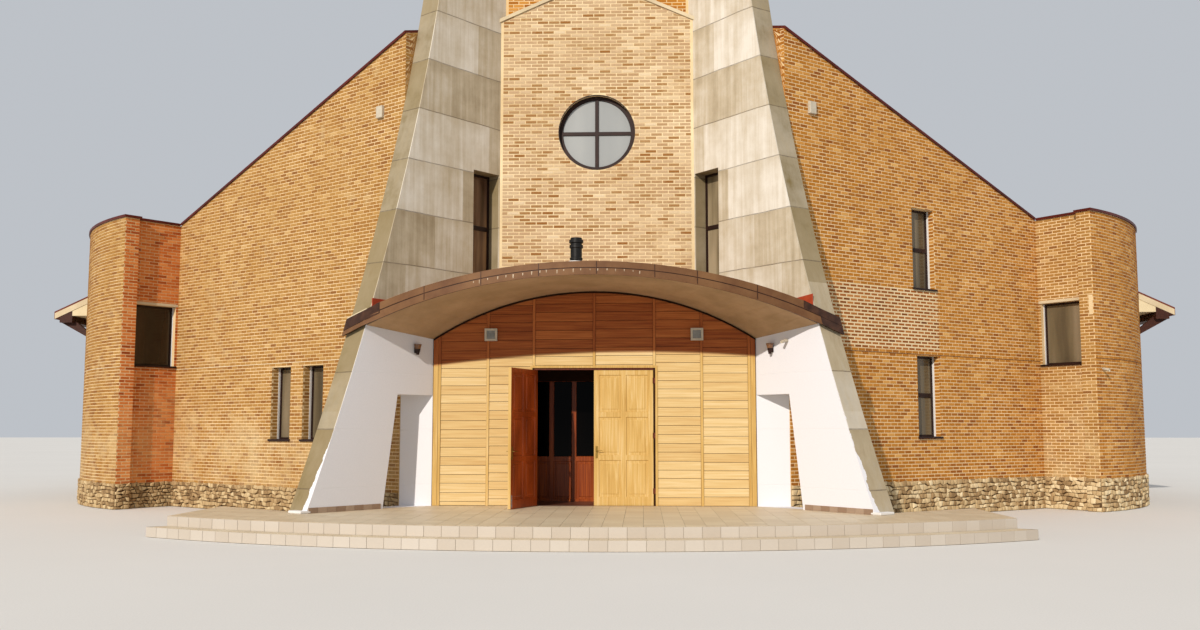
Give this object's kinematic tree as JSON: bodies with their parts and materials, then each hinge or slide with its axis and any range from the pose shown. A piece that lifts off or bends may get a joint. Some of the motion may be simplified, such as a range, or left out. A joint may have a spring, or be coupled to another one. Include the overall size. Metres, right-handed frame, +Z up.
{
  "type": "modern church building",
  "caption": "Modern brick church: leaning concrete fins carry an open tower and cross over a vaulted entrance canopy, with splayed wings, curved corner walls, tiled roof and timber doors",
  "frame": {"origin": "On the entrance axis, in the plane of the timber wall's front face, on the flat underside at the level of the paving in front of the steps", "axes": "+Z up, +Y into the building away from the entrance, +X to the right when facing the entrance"},
  "size_m": [29.5, 31.9, 19.6],
  "materials": {
    "paving": "small square pale paving tiles with grey joints",
    "floor": "plain smooth floor",
    "concrete": "fair-faced concrete with lift joints and weather streaks, painted white under the canopy",
    "brick": "sand-orange bricks in pale mortar",
    "window": "clear pane in a dark brown frame",
    "steel": "dull grey steel",
    "pine": "varnished golden pine boards",
    "door": "varnished pine with raised panels, dark brown on the inside",
    "dark_wood": "dark brown stained wood",
    "soffit": "painted concrete vault",
    "brown_metal": "brown coated sheet in two bands",
    "dark_metal": "dark red-brown coated sheet",
    "roofing": "red-brown roof tiles",
    "eave_board": "pale painted eave boards"
  },
  "bodies": {
    "building": {"podium": "paving", "podium_lower_step": "paving", "nave_floor": "floor", "right_fin": "concrete", "left_fin": "concrete", "right_slot_window": "window", "left_slot_window": "window", "centre_brick_wall": "brick", "gable_band": "concrete", "round_window": "window", "tower_wall": "brick", "tower_tie_beam": "concrete", "tower_head_beam": "concrete", "cross": "steel", "right_timber_wall": "pine", "left_timber_wall": "pine", "timber_wall_over_door": "pine", "door_lining": "pine", "inner_screen": "dark_wood", "canopy_shell": "soffit", "canopy_fascia": "brown_metal", "roof_vent": "dark_metal", "left_wing_wall": "brick", "left_wing_inner_window": "window", "left_wing_outer_window": "window", "left_wing_coping": "dark_metal", "right_wing_wall": "brick", "right_wing_upper_window": "window", "right_wing_lower_window": "window", "right_wing_coping": "dark_metal", "right_curved_wall": "brick", "left_curved_wall": "brick", "right_corner_wall": "brick", "left_corner_wall": "brick", "right_corner_window": "window", "left_corner_window": "window", "right_corner_roof": "roofing", "left_corner_roof": "roofing", "right_corner_coping": "dark_metal", "left_corner_coping": "dark_metal", "right_side_wall": "brick", "left_side_wall": "brick", "right_side_glass": "window", "left_side_glass": "window", "rear_wall": "brick", "right_roof_slope": "roofing", "left_roof_slope": "roofing", "right_eave_soffit": "eave_board", "left_eave_soffit": "eave_board", "right_eave_beam": "dark_wood", "left_eave_beam": "dark_wood"},
    "left_leaf": {"left_door_leaf": "door"},
    "right_leaf": {"right_door_leaf": "door"}
  },
  "joints": [
    {"name": "left_door_hinge", "type": "hinge", "parent": "building", "child": "left_leaf", "pos_m": [-1.195, -0.01, 0.5], "axis": [0, 0, 1], "range_deg": [0, 110]},
    {"name": "right_door_hinge", "type": "hinge", "parent": "building", "child": "right_leaf", "pos_m": [1.195, -0.01, 0.5], "axis": [0, 0, 1], "range_deg": [0, 110]}
  ]
}
